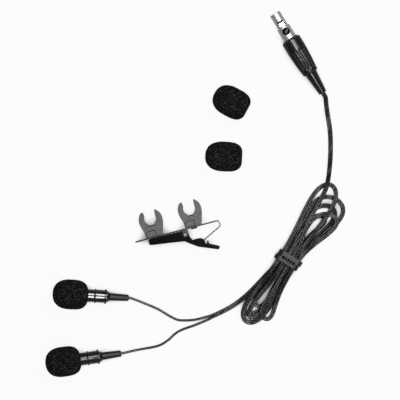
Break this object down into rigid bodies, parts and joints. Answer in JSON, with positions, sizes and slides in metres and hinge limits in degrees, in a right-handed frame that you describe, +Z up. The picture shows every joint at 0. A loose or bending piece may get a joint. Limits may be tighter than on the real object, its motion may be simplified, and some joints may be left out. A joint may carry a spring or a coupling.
{
  "type": "lavalier microphone",
  "caption": "Lavalier microphone kit: small microphones on one twin lead with a locking round plug, folded and tied, plus a tie clip with swivelling holders and spare foam windscreens.",
  "frame": {"origin": "on the table, under the centre of the box round the microphones, the clip and the spare windscreens", "axes": "+Z up from the table; +Y along the longer side of the layout, from the microphones towards the plug; +X towards the plug's side"},
  "size_m": [0.1787, 0.2181, 0.0187],
  "materials": {
    "foam": "matte open-cell foam",
    "barrel": "gloss black",
    "grille": "fine perforated",
    "capsule": "satin",
    "gasket": "matte",
    "strain_relief": "satin",
    "cable": "satin",
    "tie": "satin",
    "plug_shell": "satin nickel",
    "insert": "matte",
    "contacts": "gold plated",
    "latch": "bright",
    "button": "gloss",
    "collar": "satin black",
    "clamp": "plain",
    "boot": "semi gloss",
    "clip_steel": "polished",
    "jaw": "gloss black",
    "rivet": "dark",
    "holder": "satin grey"
  },
  "bodies": {
    "kit": {"front_shell_a": "barrel", "grille_a": "grille", "capsule_a": "capsule", "gasket_a": "gasket", "joint_ring_a": "barrel", "rear_shell_a": "barrel", "strain_relief_a": "strain_relief", "cable_a": "cable", "front_shell_b": "barrel", "grille_b": "grille", "capsule_b": "capsule", "gasket_b": "gasket", "joint_ring_b": "barrel", "rear_shell_b": "barrel", "strain_relief_b": "strain_relief", "cable_b": "cable", "cable_split_run": "cable", "cable_hank": "cable", "cable_tie": "tie", "cable_plug_run": "cable", "plug_shell": "plug_shell", "plug_insert": "insert", "plug_contacts": "contacts", "plug_collar": "collar", "plug_cable_clamp": "clamp", "plug_boot": "boot"},
    "foam_a": {"windscreen_a": "foam"},
    "foam_b": {"windscreen_b": "foam"},
    "button": {"plug_button": "button", "plug_latch": "latch"},
    "clip": {"clip_bar": "clip_steel", "clip_spring": "clip_steel", "clip_pin": "clip_steel", "holder_rivet_a": "rivet", "holder_rivet_b": "rivet"},
    "jaw": {"clip_jaw": "jaw"},
    "holder_a": {"mic_holder_a": "holder"},
    "holder_b": {"mic_holder_b": "holder"},
    "spare_a": {"spare_windscreen_a": "foam"},
    "spare_b": {"spare_windscreen_b": "foam"}
  },
  "joints": [
    {"name": "windscreen_a_off", "type": "slide", "parent": "kit", "child": "foam_a", "axis": [-0.9736, 0.0698, 0.2171], "range_m": [0, 0.014]},
    {"name": "windscreen_b_off", "type": "slide", "parent": "kit", "child": "foam_b", "axis": [-0.9682, -0.124, 0.2171], "range_m": [0, 0.014]},
    {"name": "plug_button_press", "type": "slide", "parent": "kit", "child": "button", "axis": [-0.0278, 0.0454, -0.9986], "range_m": [0, 0.0007], "stiffness_N_per_m": 100, "springref_m": -0.001},
    {"name": "clip_lift", "type": "slide", "parent": "kit", "child": "clip", "axis": [0, 0, 1], "range_m": [0, 0.03]},
    {"name": "clip_jaw_hinge", "type": "hinge", "parent": "clip", "child": "jaw", "pos_m": [0.02261, -0.0023, 0.00556], "axis": [-0.0506, -0.0133, 0.9986], "range_deg": [0, 16], "stiffness_Nm_per_rad": 0.02, "springref_deg": -5.73, "deforming": ["clip_spring"]},
    {"name": "mic_holder_a_swivel", "type": "hinge", "parent": "clip", "child": "holder_a", "pos_m": [0.00346, -0.00091, 0.00461], "axis": [-0.2538, 0.9673, 0], "continuous": true},
    {"name": "mic_holder_b_swivel", "type": "hinge", "parent": "clip", "child": "holder_b", "pos_m": [0.02674, 0.0052, 0.00587], "axis": [-0.2538, 0.9673, 0], "continuous": true},
    {"name": "spare_windscreen_a_lift", "type": "slide", "parent": "kit", "child": "spare_a", "axis": [0, 0, 1], "range_m": [0, 0.03]},
    {"name": "spare_windscreen_b_lift", "type": "slide", "parent": "kit", "child": "spare_b", "axis": [0, 0, 1], "range_m": [0, 0.03]}
  ]
}
